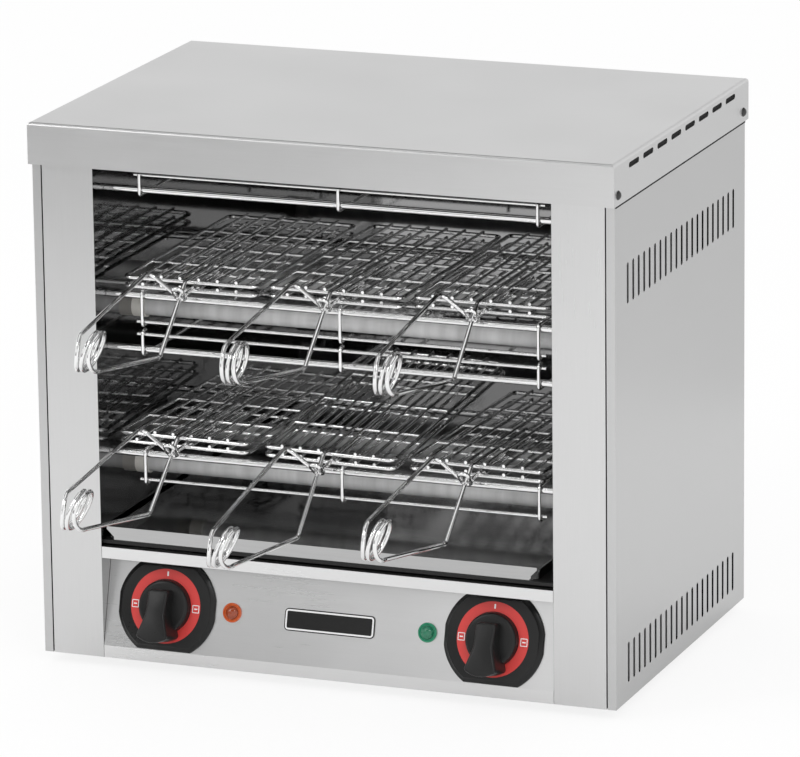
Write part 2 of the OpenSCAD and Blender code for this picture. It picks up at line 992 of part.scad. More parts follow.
module back_screws() {
    color("lightgray")
        in_place()
            for (s = [-1, 1], z = back_screw_z)
                translate([s * (body_x - side_return / 2), body_back + touch_gap, z])
                    rotate([-90, 0, 0])
                        dome_screw(back_screw_d, back_screw_head_d, back_screw_head_h, screw_in);
}

module feet() {
    color("#262626")
        in_place()
            for (p = foot_places)
                translate([p[0], p[1], 0]) {
                    translate([0, 0, -foot_h])
                        cylinder(d1 = foot_d - foot_taper, d2 = foot_d, h = foot_h - touch_gap);
                    translate([0, 0, -over])
                        cylinder(d = foot_neck_d, h = sheet + 2 * over);
                    translate([0, 0, sheet + touch_gap])
                        cylinder(d1 = foot_barb_d, d2 = foot_tip_d, h = foot_barb_h);
                }
}

// Clamps

// Places a clamp by its number, tipped forward on the front rod if it lies so
module clamp_place(i) {
    row = floor(i / 3);
    shift = row == 0 ? upper_shift : lower_shift;
    pull = row == 0 ? upper_pull : lower_pull;
    turn = row == 0 ? upper_turn : lower_turn;
    seat_y = rod_rows[0];
    seat_z = rack_z[row] + jaw_lift - frame_d / 2;
    translate([(i % 3 - 1) * clamp_pitch + shift[i % 3], seat_y, seat_z])
        rotate([i == tipped_clamp ? tip_angle : 0, 0, -turn[i % 3]])
            translate([0, eye_y - pull[i % 3] - seat_y, frame_d / 2])
                children();
}

// Wire grid in the XY plane with its long wires on top
module jaw_grid() {
    x = jaw_w / 2;
    back = jaw_front + jaw_l;
    c = frame_corner - bend_lap;
    long_step = jaw_w / (long_wires + 1);
    cross_step = jaw_l / (cross_wires + 1);
    for (s = [-1, 1]) {
        bar([s * x, jaw_front + c, 0], [s * x, back - c, 0], frame_d);
        bar([-x + c, s < 0 ? jaw_front : back, 0], [x - c, s < 0 ? jaw_front : back, 0], frame_d);
        elbow([s * x, jaw_front, 0], [s, 0, 0], [0, 1, 0], frame_d, frame_corner);
        elbow([s * x, back, 0], [s, 0, 0], [0, -1, 0], frame_d, frame_corner);
    }
    for (i = [1 : cross_wires])
        bar([-x, jaw_front + i * cross_step, 0], [x, jaw_front + i * cross_step, 0], grid_d);
    for (i = [1 : long_wires])
        bar(
            [-x + i * long_step, jaw_front - over, grid_step],
            [-x + i * long_step, back + over, grid_step],
            grid_d
        );
}

// Elongated guide eye that the top jaw's handle wire runs through
module guide_eye() {
    rotate([eye_lean, 0, 0]) {
        for (s = [-1, 1])
            bar([s * eye_r, 0, 0], [s * eye_r, 0, eye_travel], handle_d);
        rotate([90, 0, 0])
            rotate([0, 0, 180])
                rotate_extrude(angle = 180)
                    translate([eye_r, 0])
                        circle(d = handle_d);
        translate([0, 0, eye_travel])
            rotate([90, 0, 0])
                rotate_extrude(angle = 180)
                    translate([eye_r, 0])
                        circle(d = handle_d);
    }
}

module clamp_bottom_jaw(i) {
    eye_left = [-eye_r, -sin(eye_lean) * eye_travel / 2, cos(eye_lean) * eye_travel / 2];
    eye_right = [eye_r, -sin(eye_lean) * eye_travel / 3, cos(eye_lean) * eye_travel / 3];
    color("lightgray")
        in_place()
            clamp_place(i) {
                jaw_grid();
                guide_eye();
                wire([spring_points[0], peak, eye_left], handle_d, handle_bend);
                wire([
                    eye_right,
                    [eye_r, jaw_front, tail_z],
                    [eye_r, spine_l, tail_z]
                ], handle_d, handle_bend);
            }
}

module clamp_top_jaw(i) {
    foot = spring_points[len(spring_points) - 1] + rest_gap * arm_dir(lower_angle);
    crest = [0, spine_z / tan(eye_lean), spine_z];
    color("lightgray")
        in_place()
            clamp_place(i) {
                translate([0, 0, jaw_gap])
                    jaw_grid();
                wire([foot, low_bend, crest, [0, spine_l, spine_z]], handle_d, handle_bend);
            }
}

// Torsion spring as one tube along its helix
module clamp_spring(i) {
    n = len(spring_points);
    m = spring_sides;
    dirs = [
        for (k = [0 : n - 1])
            unit(spring_points[min(k + 1, n - 1)] - spring_points[max(k - 1, 0)])
    ];
    rings = [
        for (k = [0 : n - 1])
            let (
                t = k == 0 ? -arm_dir(upper_angle) : k == n - 1 ? arm_dir(lower_angle) : dirs[k],
                e = unit([1, 0, 0] - t[0] * t),
                f = cross(t, e)
            )
            for (j = [0 : m - 1])
                spring_points[k] + handle_d / 2 * (cos(j * 360 / m) * e + sin(j * 360 / m) * f)
    ];
    skin = [
        for (k = [0 : n - 2], j = [0 : m - 1])
            let (a = k * m + j, b = k * m + (j + 1) % m)
            each [[a, a + m, b], [b, a + m, b + m]]
    ];
    ends = [
        for (j = [1 : m - 2])
            each [[0, j, j + 1], [(n - 1) * m, (n - 1) * m + j + 1, (n - 1) * m + j]]
    ];
    color("lightgray")
        in_place()
            clamp_place(i)
                polyhedron(rings, concat(skin, ends));
}

top_cover();
left_side_panel();
right_side_panel();
back_panel();
base_plate();
left_front_post();
right_front_post();
control_panel();
left_reflector();
right_reflector();
rear_reflector();
ceiling_reflector();
tray_shelf();
crumb_tray();
upper_tubes();
middle_tubes();
lower_tubes();
heater_caps();
heater_filaments();
guard_rods();
ceiling_guard_wires();
upper_rack_wires();
lower_guard_wires();
lower_rack_wires();
left_knob_plate();
right_knob_plate();
left_knob();
right_knob();
left_switch();
right_switch();
left_shaft();
right_shaft();
heating_lamp();
power_lamp();
terminal_block();
cable_gland();
cover_screws();
back_screws();
feet();
clamp_bottom_jaw(0);  // upper_left_clamp_bottom_jaw
clamp_top_jaw(0);  // upper_left_clamp_top_jaw
clamp_spring(0);  // upper_left_clamp_spring
clamp_bottom_jaw(1);  // upper_middle_clamp_bottom_jaw
clamp_top_jaw(1);  // upper_middle_clamp_top_jaw
clamp_spring(1);  // upper_middle_clamp_spring
clamp_bottom_jaw(2);  // upper_right_clamp_bottom_jaw
clamp_top_jaw(2);  // upper_right_clamp_top_jaw
clamp_spring(2);  // upper_right_clamp_spring
clamp_bottom_jaw(3);  // lower_left_clamp_bottom_jaw
clamp_top_jaw(3);  // lower_left_clamp_top_jaw
clamp_spring(3);  // lower_left_clamp_spring
clamp_bottom_jaw(4);  // lower_middle_clamp_bottom_jaw
clamp_top_jaw(4);  // lower_middle_clamp_top_jaw
clamp_spring(4);  // lower_middle_clamp_spring
clamp_bottom_jaw(5);  // lower_right_clamp_bottom_jaw
clamp_top_jaw(5);  // lower_right_clamp_top_jaw
clamp_spring(5);  // lower_right_clamp_spring
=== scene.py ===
import math

import bmesh
import bpy
from mathutils import Matrix, Vector


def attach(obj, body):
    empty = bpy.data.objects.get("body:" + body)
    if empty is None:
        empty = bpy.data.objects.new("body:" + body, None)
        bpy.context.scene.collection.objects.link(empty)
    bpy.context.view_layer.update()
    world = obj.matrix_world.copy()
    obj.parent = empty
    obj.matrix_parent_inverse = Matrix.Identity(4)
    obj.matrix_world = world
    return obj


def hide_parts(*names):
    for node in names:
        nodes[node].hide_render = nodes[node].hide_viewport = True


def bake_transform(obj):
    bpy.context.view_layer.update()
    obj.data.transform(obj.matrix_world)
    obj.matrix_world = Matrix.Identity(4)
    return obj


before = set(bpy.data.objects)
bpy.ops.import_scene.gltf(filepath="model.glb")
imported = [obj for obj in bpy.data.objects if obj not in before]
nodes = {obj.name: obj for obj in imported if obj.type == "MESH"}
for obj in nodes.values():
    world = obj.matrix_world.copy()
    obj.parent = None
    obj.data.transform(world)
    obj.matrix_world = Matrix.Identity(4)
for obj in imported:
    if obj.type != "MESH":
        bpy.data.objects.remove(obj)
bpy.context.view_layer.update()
scene = bpy.context.scene
mm = 0.001

# Sizes in millimetres, measured back from the cover's front face and up from the cabinet's bottom edge
case = {"originY": 88.2, "footH": 8.0}
rows = ("upper", "lower")
columns = ("left", "middle", "right")


def inFrame(x, y, z):
    return Vector((x, y - case["originY"], z + case["footH"])) * mm


print("stage: materials")


def grey(tone):
    return (tone, tone, tone, 1.0)


def newGroup(name, inputs, outputs):
    group = bpy.data.node_groups.new(name, "ShaderNodeTree")
    for label, kind, value in inputs:
        socket = group.interface.new_socket(label, in_out="INPUT", socket_type=kind)
        socket.default_value = value
    for label, kind in outputs:
        group.interface.new_socket(label, in_out="OUTPUT", socket_type=kind)
    return group, group.nodes.new("NodeGroupInput"), group.nodes.new("NodeGroupOutput")


def mathNode(tree, operation, a, b):
    node = tree.nodes.new("ShaderNodeMath")
    node.operation = operation
    for socket, value in zip(node.inputs, (a, b)):
        if isinstance(value, (int, float)):
            socket.default_value = value
        else:
            tree.links.new(value, socket)
    return node.outputs[0]


grainNoise = {
    "fineDetail": 4.0,
    "cloudScale": 9.0,
    "cloudDetail": 3.0,
    "spread": (0.3, 0.7),
    "height": 0.0002,
}


def makeGrain():
    group, start, end = newGroup(
        "rolledGrain",
        [
            ("Stretch", "NodeSocketVector", (1.0, 1.0, 1.0)),
            ("Light", "NodeSocketColor", grey(0.62)),
            ("Dark", "NodeSocketColor", grey(0.56)),
            ("Low", "NodeSocketFloat", 0.3),
            ("High", "NodeSocketFloat", 0.4),
            ("Depth", "NodeSocketFloat", 0.05),
        ],
        [
            ("Color", "NodeSocketColor"),
            ("Roughness", "NodeSocketFloat"),
            ("Normal", "NodeSocketVector"),
        ],
    )
    links = group.links
    coords = group.nodes.new("ShaderNodeTexCoord")
    scaled = group.nodes.new("ShaderNodeVectorMath")
    scaled.operation = "MULTIPLY"
    links.new(coords.outputs["Object"], scaled.inputs[0])
    links.new(start.outputs["Stretch"], scaled.inputs[1])
    fine = group.nodes.new("ShaderNodeTexNoise")
    fine.inputs["Scale"].default_value = 1.0
    fine.inputs["Detail"].default_value = grainNoise["fineDetail"]
    links.new(scaled.outputs[0], fine.inputs["Vector"])
    cloud = group.nodes.new("ShaderNodeTexNoise")
    cloud.inputs["Scale"].default_value = grainNoise["cloudScale"]
    cloud.inputs["Detail"].default_value = grainNoise["cloudDetail"]
    links.new(coords.outputs["Object"], cloud.inputs["Vector"])
    both = mathNode(group, "ADD", fine.outputs["Fac"], cloud.outputs["Fac"])
    half = mathNode(group, "MULTIPLY", both, 0.5)
    tone = group.nodes.new("ShaderNodeMix")
    tone.data_type = "RGBA"
    links.new(half, tone.inputs["Factor"])
    links.new(start.outputs["Dark"], tone.inputs["A"])
    links.new(start.outputs["Light"], tone.inputs["B"])
    links.new(tone.outputs["Result"], end.inputs["Color"])
    spread = group.nodes.new("ShaderNodeMapRange")
    links.new(half, spread.inputs["Value"])
    spread.inputs["From Min"].default_value = grainNoise["spread"][0]
    spread.inputs["From Max"].default_value = grainNoise["spread"][1]
    links.new(start.outputs["Low"], spread.inputs["To Min"])
    links.new(start.outputs["High"], spread.inputs["To Max"])
    links.new(spread.outputs["Result"], end.inputs["Roughness"])
    bump = group.nodes.new("ShaderNodeBump")
    bump.inputs["Distance"].default_value = grainNoise["height"]
    links.new(start.outputs["Depth"], bump.inputs["Strength"])
    links.new(fine.outputs["Fac"], bump.inputs["Height"])
    links.new(bump.outputs["Normal"], end.inputs["Normal"])
    return group


# painted shade: near-black tone given to the cover and side faces turned towards the cavity
paintedInnerShade = 0.01


def makeHollow():  # painted shade: darkens the faces that look in towards the cavity to near black
    group, start, end = newGroup(
        "hollowShade",
        [
            ("Color", "NodeSocketColor", grey(0.6)),
            ("Centre", "NodeSocketVector", (0.0, 0.0, 0.0)),
        ],
        [("Color", "NodeSocketColor")],
    )
    coords = group.nodes.new("ShaderNodeTexCoord")
    normal = group.nodes.new("ShaderNodeNewGeometry")
    away = group.nodes.new("ShaderNodeVectorMath")
    away.operation = "SUBTRACT"
    group.links.new(coords.outputs["Object"], away.inputs[0])
    group.links.new(start.outputs["Centre"], away.inputs[1])
    facing = group.nodes.new("ShaderNodeVectorMath")
    facing.operation = "DOT_PRODUCT"
    group.links.new(away.outputs[0], facing.inputs[0])
    group.links.new(normal.outputs["True Normal"], facing.inputs[1])
    outer = mathNode(group, "GREATER_THAN", facing.outputs["Value"], 0.0)
    tone = group.nodes.new("ShaderNodeMix")
    tone.data_type = "RGBA"
    tone.inputs["A"].default_value = grey(paintedInnerShade)
    group.links.new(outer, tone.inputs["Factor"])
    group.links.new(start.outputs["Color"], tone.inputs["B"])
    group.links.new(tone.outputs["Result"], end.inputs["Color"])
    return group


returnLook = {"tone": 0.28, "rough": 0.06}


def makeReturn():  # gives the posts' inner returns the cavity's polish
    group, start, end = newGroup(
        "returnShade",
        [
            ("Color", "NodeSocketColor", grey(0.6)),
            ("Roughness", "NodeSocketFloat", 0.3),
            ("Edge", "NodeSocketFloat", 0.1),
        ],
        [("Color", "NodeSocketColor"), ("Roughness", "NodeSocketFloat")],
    )
    coords = group.nodes.new("ShaderNodeTexCoord")
    split = group.nodes.new("ShaderNodeSeparateXYZ")
    group.links.new(coords.outputs["Object"], split.inputs[0])
    across = mathNode(group, "ABSOLUTE", split.outputs["X"], 0.0)
    inner = mathNode(group, "LESS_THAN", across, start.outputs["Edge"])
    tone = group.nodes.new("ShaderNodeMix")
    tone.data_type = "RGBA"
    tone.inputs["B"].default_value = grey(returnLook["tone"])
    group.links.new(inner, tone.inputs["Factor"])
    group.links.new(start.outputs["Color"], tone.inputs["A"])
    group.links.new(tone.outputs["Result"], end.inputs["Color"])
    gloss = group.nodes.new("ShaderNodeMix")
    gloss.data_type = "FLOAT"
    gloss.inputs["B"].default_value = returnLook["rough"]
    group.links.new(inner, gloss.inputs["Factor"])
    group.links.new(start.outputs["Roughness"], gloss.inputs["A"])
    group.links.new(gloss.outputs["Result"], end.inputs["Roughness"])
    return group


grainGroup = makeGrain()
hollowGroup = makeHollow()
returnGroup = makeReturn()
alongX = (25.0, 900.0, 900.0)
alongY = (900.0, 25.0, 900.0)
alongZ = (900.0, 900.0, 25.0)
speckle = (700.0, 700.0, 700.0)
broad = (60.0, 60.0, 60.0)
lensGrain = (450.0, 450.0, 450.0)
cavityCentre = (0.0, 0.06, 0.2)

finishes = {
    "coverSteel": {
        "stretch": alongX,
        "tone": (0.60, 0.66),
        "rough": (0.28, 0.36),
        "depth": 0.015,
        "hollow": cavityCentre,
    },
    "postSteel": {
        "stretch": alongZ,
        "tone": (0.61, 0.68),
        "rough": (0.26, 0.34),
        "depth": 0.015,
        "returnX": 0.17645,
    },
    "sideSteel": {
        "stretch": alongY,
        "tone": (0.53, 0.59),
        "rough": (0.28, 0.36),
        "depth": 0.015,
        "hollow": cavityCentre,
    },
    "panelSteel": {"stretch": alongX, "tone": (0.71, 0.77), "rough": (0.26, 0.32), "depth": 0.008},
    "mirrorSteel": {"stretch": alongZ, "tone": (0.24, 0.31), "rough": (0.03, 0.08), "depth": 0.01},
    # painted shade: near-black steel on the tray shelf, so its lip stands in for the shadow gap under
    # the crumb tray
    "shelfPaintedShade": {"stretch": alongX, "tone": (0.03, 0.05), "rough": (0.35, 0.50), "depth": 0.01},
    "traySteel": {"stretch": alongX, "tone": (0.40, 0.50), "rough": (0.05, 0.12), "depth": 0.01},
    "wireChrome": {"stretch": broad, "tone": (0.78, 0.90), "rough": (0.03, 0.08), "depth": 0.01},
    "platedSteel": {"stretch": speckle, "tone": (0.45, 0.55), "rough": (0.25, 0.40), "depth": 0.05},
    "heatWire": {"stretch": speckle, "tone": (0.16, 0.25), "rough": (0.50, 0.70), "depth": 0.1},
    "quartzMilk": {
        "stretch": (110.0, 14.0, 14.0),
        "tone": (0.12, 0.98),
        "rough": (0.30, 0.45),
        "depth": 0.03,
        "metal": 0.0,
    },
    "ceramicWhite": {
        "stretch": speckle,
        "dark": (0.62, 0.60, 0.56),
        "light": (0.72, 0.70, 0.66),
        "rough": (0.55, 0.75),
        "depth": 0.1,
        "metal": 0.0,
    },
    "blackPlastic": {
        "stretch": speckle,
        "tone": (0.008, 0.014),
        "rough": (0.26, 0.38),
        "depth": 0.06,
        "metal": 0.0,
        "specular": 0.3,
    },
    "greyPlastic": {
        "stretch": speckle,
        "tone": (0.28, 0.34),
        "rough": (0.50, 0.65),
        "depth": 0.08,
        "metal": 0.0,
    },
    "blackScrew": {
        "stretch": speckle,
        "tone": (0.02, 0.03),
        "rough": (0.30, 0.45),
        "depth": 0.05,
        "metal": 0.0,
    },
    # black rubber of the feet; the same material also colours the painted shadow strips under the cover
    # skirts and the painted shade in the vent slots
    "rubberAndPaintedShade": {
        "stretch": speckle,
        "tone": (0.012, 0.02),
        "rough": (0.70, 0.85),
        "depth": 0.15,
        "metal": 0.0,
        "specular": 0.1,
    },
    "redPrint": {
        "stretch": speckle,
        "dark": (0.56, 0.036, 0.032),
        "light": (0.64, 0.046, 0.040),
        "rough": (0.35, 0.45),
        "depth": 0.03,
        "metal": 0.0,
    },
    "whitePrint": {
        "stretch": speckle,
        "tone": (0.74, 0.82),
        "rough": (0.40, 0.50),
        "depth": 0.02,
        "metal": 0.0,
    },
    "amberLens": {
        "stretch": lensGrain,
        "dark": (0.32, 0.045, 0.010),
        "light": (0.70, 0.13, 0.025),
        "rough": (0.12, 0.22),
        "depth": 0.4,
        "metal": 0.0,
        "coat": 0.5,
    },
    "greenLens": {
        "stretch": lensGrain,
        "dark": (0.006, 0.13, 0.065),
        "light": (0.02, 0.27, 0.14),
        "rough": (0.12, 0.22),
        "depth": 0.4,
        "metal": 0.0,
        "coat": 0.5,
    },
    "amberCore": {
        "stretch": lensGrain,
        "dark": (0.14, 0.02, 0.006),
        "light": (0.42, 0.07, 0.016),
        "rough": (0.08, 0.16),
        "depth": 0.4,
        "metal": 0.0,
        "coat": 0.5,
    },
    "greenCore": {
        "stretch": lensGrain,
        "dark": (0.004, 0.09, 0.045),
        "light": (0.014, 0.21, 0.11),
        "rough": (0.08, 0.16),
        "depth": 0.4,
        "metal": 0.0,
        "coat": 0.5,
    },
    "paleCard": {
        "stretch": broad,
        "tone": (0.74, 0.78),
        "rough": (0.80, 0.90),
        "depth": 0.0,
        "metal": 0.0,
    },
    "darkCard": {
        "stretch": broad,
        "tone": (0.24, 0.28),
        "rough": (0.80, 0.90),
        "depth": 0.0,
        "metal": 0.0,
    },
    "paleFloor": {
        "stretch": broad,
        "tone": (0.93, 0.95),
        "rough": (0.80, 0.90),
        "depth": 0.0,
        "metal": 0.0,
    },
}


def addGroup(tree, group):
    node = tree.nodes.new("ShaderNodeGroup")
    node.node_tree = group
    return node


def makeMaterial(name, look):
    material = bpy.data.materials.new(name)
    material.use_nodes = True
    tree = material.node_tree
    shader = next(n for n in tree.nodes if n.type == "BSDF_PRINCIPLED")
    grain = addGroup(tree, grainGroup)
    dark = (*look["dark"], 1.0) if "dark" in look else grey(look["tone"][0])
    light = (*look["light"], 1.0) if "light" in look else grey(look["tone"][1])
    grain.inputs["Stretch"].default_value = look["stretch"]
    grain.inputs["Dark"].default_value = dark
    grain.inputs["Light"].default_value = light
    grain.inputs["Low"].default_value = look["rough"][0]
    grain.inputs["High"].default_value = look["rough"][1]
    grain.inputs["Depth"].default_value = look["depth"]
    colour = grain.outputs["Color"]
    gloss = grain.outputs["Roughness"]
    # painted shade on the faces turned towards the cavity
    if "hollow" in look:
        inner = addGroup(tree, hollowGroup)
        inner.inputs["Centre"].default_value = look["hollow"]
        tree.links.new(colour, inner.inputs["Color"])
        colour = inner.outputs["Color"]
    if "returnX" in look:
        inner = addGroup(tree, returnGroup)
        inner.inputs["Edge"].default_value = look["returnX"]
        tree.links.new(colour, inner.inputs["Color"])
        tree.links.new(gloss, inner.inputs["Roughness"])
        colour = inner.outputs["Color"]
        gloss = inner.outputs["Roughness"]
    tree.links.new(colour, shader.inputs["Base Color"])
    tree.links.new(gloss, shader.inputs["Roughness"])
    tree.links.new(grain.outputs["Normal"], shader.inputs["Normal"])
    shader.inputs["Metallic"].default_value = look.get("metal", 1.0)
    shader.inputs["Coat Weight"].default_value = look.get("coat", 0.0)
    shader.inputs["Specular IOR Level"].default_value = look.get("specular", 0.5)
    return material


materials = {name: makeMaterial(name, look) for name, look in finishes.items()}
wearers = {
    "coverSteel": ("top_cover",),
    "sideSteel": ("left_side_panel", "right_side_panel", "back_panel", "base_plate"),
    "postSteel": ("left_front_post", "right_front_post"),
    "panelSteel": ("control_panel",),
    # painted shade on the tray shelf
    "shelfPaintedShade": ("tray_shelf",),
    "mirrorSteel": ("left_reflector", "right_reflector", "rear_reflector", "ceiling_reflector"),
    "traySteel": ("crumb_tray",),
    "quartzMilk": ("upper_tubes", "middle_tubes", "lower_tubes"),
    "ceramicWhite": ("heater_caps",),
    "heatWire": ("heater_filaments",),
    "blackPlastic": ("left_knob_plate", "right_knob_plate", "left_knob", "right_knob", "cable_gland"),
    "greyPlastic": ("left_switch", "right_switch", "terminal_block"),
    "platedSteel": ("left_shaft", "right_shaft", "back_screws"),
    "amberLens": ("heating_lamp",),
    "greenLens": ("power_lamp",),
    "blackScrew": ("cover_screws",),
    "rubberAndPaintedShade": ("feet",),
}
worn = {node: name for name, group in wearers.items() for node in group}
for name, node in nodes.items():
    node.data.materials.clear()
    node.data.materials.append(materials[worn.get(name, "wireChrome")])


print("stage: mesh tools")
cornerSteps = 8
sharpAngle = math.radians(35.0)
mergeGap = 0.001


def pickVerts(geom):
    return [part for part in geom if isinstance(part, bmesh.types.BMVert)]


def pickFaces(geom):
    return [part for part in geom if isinstance(part, bmesh.types.BMFace)]


def roundVerts(part, verts, offset):
    bmesh.ops.bevel(
        part,
        geom=verts,
        offset=offset,
        affect="VERTICES",
        segments=cornerSteps,
        profile=0.5,
        material=-1,
    )


def thicken(part, faces, height):
    grown = bmesh.ops.extrude_face_region(part, geom=faces)["geom"]
    bmesh.ops.translate(part, verts=pickVerts(grown), vec=(0.0, 0.0, height))
    return pickFaces(grown)


def stepUp(part, top, steps):  # each step draws the top face in and lifts it
    for depth, rise in steps:
        bmesh.ops.inset_region(
            part, faces=top, thickness=depth, use_boundary=True, use_even_offset=True
        )
        verts = list({vert for face in top for vert in face.verts})
        bmesh.ops.translate(part, verts=verts, vec=(0.0, 0.0, rise))


def roundedFace(half, radius, low):
    part = bmesh.new()
    bmesh.ops.create_grid(part, x_segments=1, y_segments=1, size=1.0)
    bmesh.ops.scale(part, verts=part.verts, vec=(half[0], half[1], 1.0))
    bmesh.ops.translate(part, verts=part.verts, vec=(0.0, 0.0, low))
    roundVerts(part, part.verts[:], radius)
    return part


def slab(half, radius, low, high):
    part = roundedFace(half, radius, low)
    thicken(part, part.faces[:], high - low)
    return part


def hoop(half, radius, width, low, high):
    part = roundedFace(half, radius, low)
    inner = part.faces[:]
    rim = bmesh.ops.inset_region(
        part, faces=inner, thickness=width, use_boundary=True, use_even_offset=True
    )["faces"]
    bmesh.ops.delete(part, geom=inner, context="FACES_ONLY")
    thicken(part, rim, high - low)
    return part


def turned(profile, steps, closed=False):
    part = bmesh.new()
    verts = [part.verts.new((radius, 0.0, height)) for radius, height in profile]
    edges = [part.edges.new(pair) for pair in zip(verts, verts[1:])]
    if closed:
        edges.append(part.edges.new((verts[-1], verts[0])))
    bmesh.ops.spin(
        part,
        geom=verts + edges,
        cent=(0.0, 0.0, 0.0),
        axis=(0.0, 0.0, 1.0),
        dvec=(0.0, 0.0, 0.0),
        angle=math.tau,
        steps=steps,
        use_merge=True,
        use_duplicate=False,
    )
    bmesh.ops.remove_doubles(part, verts=part.verts, dist=mergeGap)
    return part


def swept(line, radius, sides):
    frames = []
    side = Vector((1.0, 0.0, 0.0))
    for i, point in enumerate(line):
        ahead = (line[min(i + 1, len(line) - 1)] - line[max(i - 1, 0)]).normalized()
        side = (side - ahead * side.dot(ahead)).normalized()
        place = Matrix((side, ahead.cross(side), ahead)).transposed().to_4x4()
        place.translation = point
        frames.append(place)
    part = bmesh.new()
    bmesh.ops.create_circle(part, cap_ends=True, radius=radius, segments=sides, matrix=frames[0])
    end = part.faces[:]
    for here, there in zip(frames, frames[1:]):
        grown = bmesh.ops.extrude_face_region(part, geom=end)["geom"]
        bmesh.ops.transform(part, matrix=there @ here.inverted(), verts=pickVerts(grown))
        end = pickFaces(grown)
    return part


def addPiece(spec, parts):
    bm = bmesh.new()
    mesh = bpy.data.meshes.new(spec["name"])
    for part, place in parts:
        bmesh.ops.transform(part, matrix=place @ Matrix.Scale(mm, 4), verts=part.verts)
        bmesh.ops.recalc_face_normals(part, faces=part.faces)
        part.to_mesh(mesh)
        part.free()
        bm.from_mesh(mesh)
    bm.to_mesh(mesh)
    bm.free()
    mesh.shade_smooth()
    mesh.set_sharp_from_angle(angle=sharpAngle)
    mesh.materials.append(materials[spec["finish"]])
    obj = bpy.data.objects.new(spec["name"], mesh)
    scene.collection.objects.link(obj)
    if "body" in spec:
        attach(obj, spec["body"])
    if "stands" in spec:
        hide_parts(*spec["stands"])
    return obj


print("stage: springs")
clamp = {
    "pitch": 113.0,
    "shift": (3.0, 2.0, 0.0, -7.0, -3.0, -3.0),
    "pull": (6.0, 3.0, -2.0, 2.0, 6.0, 5.0),
    "turn": (0.0, 1.0, 0.0, 2.5, 4.0, 2.0),
    "tip": (0.0, 0.0, 0.0, 0.0, 7.0, 0.0),
    "lean": (0.37, 0.18, 0.26, 0.41, 0.45, 0.33),
    "eyeY": 13.0,
    "rodY": 26.0,
    "rackZ": (272.5, 153.0),
    "lift": 6.85,
    "frameD": 3.0,
}
spring = {
    "axisY": -120.0,
    "axisZ": -13.0,
    "radius": 14.0,
    "wire": 3.2,
    "peak": (-24.0, -2.0, 17.0),
    "bend": (0.0, -40.0, -36.0),
    "span": 11.0,
    "turns": 2,
    "leanShare": 0.2,
    "ringsPerTurn": 40,
    "sides": 18,
}


def tangentAngle(point, side):
    dy = point[1] - spring["axisY"]
    dz = point[2] - spring["axisZ"]
    return math.atan2(dz, dy) - side * math.asin(spring["radius"] / math.hypot(dy, dz))


def leanEase(t):
    u = min(1.0, min(t, 1.0 - t) / spring["leanShare"])
    return u * u * (3 - 2 * u)


def springLine(lean):
    upper = tangentAngle(spring["peak"], 1)
    lower = tangentAngle(spring["bend"], -1)
    sweep = spring["turns"] * math.tau + math.pi + lower - upper
    count = int(spring["ringsPerTurn"] * sweep / math.tau)
    line = []
    for i in range(count + 1):
        t = i / count
        a = upper + t * sweep
        rise = spring["radius"] * math.cos(a)
        x = spring["peak"][0] + t * spring["span"] + lean * rise * leanEase(t)
        y = spring["axisY"] - spring["radius"] * math.sin(a)
        line.append(Vector((x, y, spring["axisZ"] + rise)))
    stub = spring["wire"]
    line.insert(0, line[0] + stub * Vector((0, math.cos(upper), math.sin(upper))))
    line.append(line[-1] + stub * Vector((0, math.cos(lower), math.sin(lower))))
    return line


def clampPlace(index):
    row, column = divmod(index, len(columns))
    half = clamp["frameD"] / 2
    x = (column - 1) * clamp["pitch"] + clamp["shift"][index]
    seat = inFrame(x, clamp["rodY"], clamp["rackZ"][row] + clamp["lift"] - half)
    turn = Matrix.Rotation(math.radians(-clamp["turn"][index]), 4, "Z")
    tip = Matrix.Rotation(math.radians(clamp["tip"][index]), 4, "X")
    eye = Vector((0, clamp["eyeY"] - clamp["pull"][index] - clamp["rodY"], half)) * mm
    return Matrix.Translation(seat) @ turn @ tip @ Matrix.Translation(eye)


for index in range(len(rows) * len(columns)):
    row, column = divmod(index, len(columns))
    label = rows[row] + "_" + columns[column]
    place = clampPlace(index)
    coil = {
        "name": label + "_coil",
        "finish": "wireChrome",
        "slot": "chromed_wire",
        "stands": (label + "_clamp_spring",),
    }
    part = swept(springLine(clamp["lean"][index]), spring["wire"] / 2, spring["sides"])
    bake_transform(addPiece(coil, [(part, place)]))

print("stage: control panel trim")
panel = {"front": 5.0, "lean": 20.0, "lowLip": 9.3, "height": 85.0}
faceRun = panel["height"] - panel["lowLip"]
faceAngle = math.atan2(panel["lean"], faceRun)


def onPanel(x, z):
    y = panel["front"] + panel["lean"] * (z - panel["lowLip"]) / faceRun
    return Matrix.Translation(inFrame(x, y, z)) @ Matrix.Rotation(math.pi / 2 - faceAngle, 4, "X")


def shifted(place, x, y, z):
    return place @ Matrix.Translation(Vector((x, y, z)) * mm)


dial = {
    "x": 128.0,
    "z": 41.5,
    "plateR": 38.9,
    "plateSides": 144,
    "plateHalf": (38.2, 33.0),
    "plateT": 4.0,
    "plateWall": 1.0,
    "shortEdge": 1.0,
    "plateSteps": ((0.4, 0.8), (2.6, 1.4), (0.4, 0.6), (0.8, 0.2)),
    "ring": (27.5, 20.2),
    "ringSides": 96,
    "sunk": 0.3,
    "proud": 0.2,
    "markR": 24.0,
    "air": 0.6,
}
grip = {
    "skirt": ((0, 0), (19.9, 0), (19.6, 3.6), (19.1, 5.0), (18.1, 5.8), (16.7, 6.0), (0, 6.0)),
    "corners": (
        (7.7, 12.5, 2.5),
        (-7.7, 12.5, 2.5),
        (-7.2, -5.0, 3.0),
        (-12.6, -22.6, 2.6),
        (0.0, -28.0, 7.1),
        (12.6, -22.6, 2.6),
        (7.2, -5.0, 3.0),
    ),
    "height": 19.4,
    "slope": -0.2,
    "edge": 1.8,
    "edgeSteps": 5,
}


